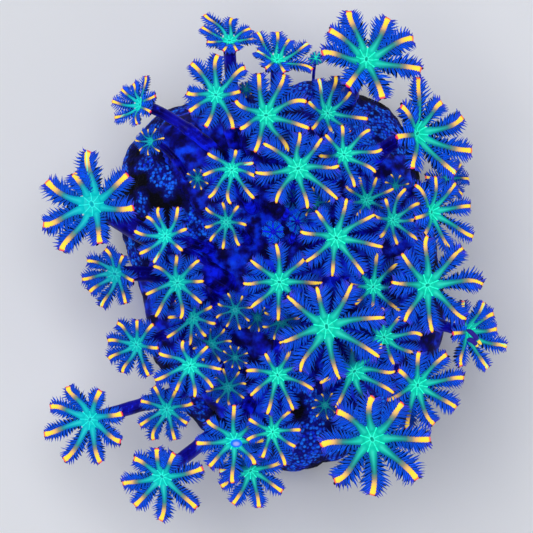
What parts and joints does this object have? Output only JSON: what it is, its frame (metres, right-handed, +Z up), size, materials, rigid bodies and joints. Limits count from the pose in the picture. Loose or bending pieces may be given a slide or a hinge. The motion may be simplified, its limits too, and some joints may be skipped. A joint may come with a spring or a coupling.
{
  "type": "clove polyp colony",
  "caption": "Clove polyp soft coral colony on a flat-bottomed reef rock: slender soft stalks that carry feathery blue crowns with turquoise mouth discs and orange tentacle tips.",
  "frame": {"origin": "on the rock's flat underside, near the middle of the colony as it is seen from above", "axes": "+Z up, away from the underside; +Y towards the far side of the colony, along its longer spread; +X to the right"},
  "size_m": [0.1051, 0.1149, 0.0604],
  "materials": {
    "rock": "matte",
    "mat": "satin",
    "polyp": "satin"
  },
  "bodies": {
    "root": {"rock": "rock", "stolon_mat": "mat", "polyp_01": "polyp", "polyp_02": "polyp", "polyp_03": "polyp", "polyp_04": "polyp", "polyp_05": "polyp", "polyp_06": "polyp", "polyp_07": "polyp", "polyp_08": "polyp", "polyp_09": "polyp", "polyp_10": "polyp", "polyp_11": "polyp", "polyp_12": "polyp", "polyp_13": "polyp", "polyp_14": "polyp", "polyp_15": "polyp", "polyp_16": "polyp", "polyp_17": "polyp", "polyp_18": "polyp", "polyp_19": "polyp", "polyp_20": "polyp", "polyp_21": "polyp", "polyp_22": "polyp", "polyp_23": "polyp", "polyp_24": "polyp", "polyp_25": "polyp", "polyp_26": "polyp", "polyp_27": "polyp", "polyp_28": "polyp", "polyp_29": "polyp", "polyp_30": "polyp", "polyp_31": "polyp", "polyp_32": "polyp", "polyp_33": "polyp", "polyp_34": "polyp", "polyp_35": "polyp", "polyp_36": "polyp", "polyp_37": "polyp", "polyp_38": "polyp", "polyp_39": "polyp", "polyp_40": "polyp", "polyp_41": "polyp", "polyp_42": "polyp", "polyp_43": "polyp", "polyp_44": "polyp", "polyp_45": "polyp", "polyp_46": "polyp", "polyp_47": "polyp", "polyp_48": "polyp", "polyp_49": "polyp", "polyp_50": "polyp", "polyp_51": "polyp", "bud_01": "polyp", "bud_02": "polyp", "bud_03": "polyp", "bud_04": "polyp", "bud_05": "polyp"}
  },
  "joints": []
}
